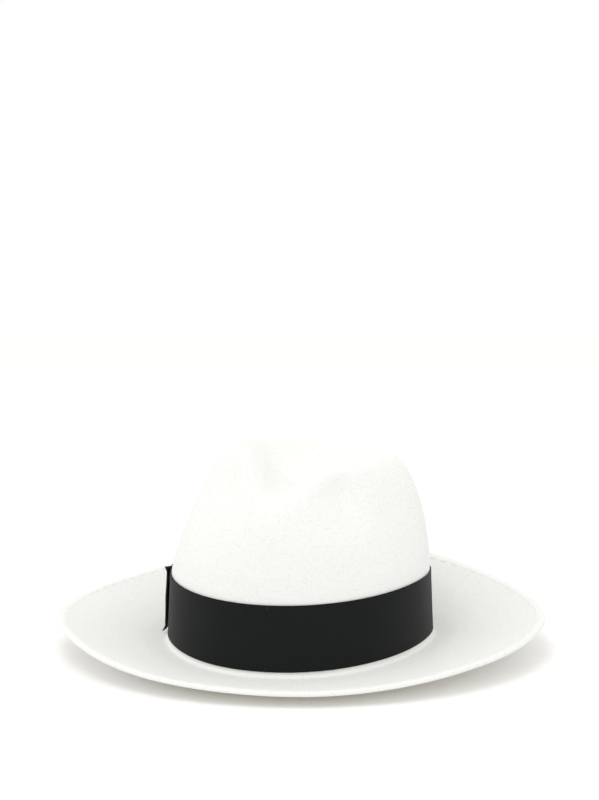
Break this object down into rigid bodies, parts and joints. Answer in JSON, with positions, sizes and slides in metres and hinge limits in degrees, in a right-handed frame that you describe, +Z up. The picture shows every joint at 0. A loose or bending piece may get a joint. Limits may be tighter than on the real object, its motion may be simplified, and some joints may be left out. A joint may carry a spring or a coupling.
{
  "type": "panama hat",
  "caption": "Woven straw sun hat with a pinched, dented crown, a snap brim, a wide dark ribbon with a flat side bow, and a leather sweatband.",
  "frame": {"origin": "centre of the head opening, on the plane that the hat stands on", "axes": "+Z up through the crown, -Y towards the front of the hat, -X towards the wearer's right, where the bow is"},
  "size_m": [0.3194, 0.3122, 0.1324],
  "materials": {
    "straw": "fine weave",
    "ribbon": "ribbed satin",
    "dark_thread": "thread",
    "sweat_leather": "smooth grain",
    "reed_cover": "woven",
    "pale_thread": "thread",
    "seam_tape": "smooth",
    "lining_ribbon": "satin",
    "blank_tab": "plain weave",
    "straw_thread": "thread"
  },
  "bodies": {
    "root": {"straw_body": "straw", "crown_ribbon": "ribbon", "bow_tail": "ribbon", "bow_loop": "ribbon", "bow_knot": "ribbon", "ribbon_tacks": "dark_thread", "sweatband": "sweat_leather", "sweatband_reed": "reed_cover", "sweatband_stitches": "pale_thread", "sweatband_seam_tape": "seam_tape", "lining_bow_loops": "lining_ribbon", "lining_bow_knot": "lining_ribbon", "size_tab": "blank_tab", "brim_hem_stitches": "straw_thread"}
  },
  "joints": []
}
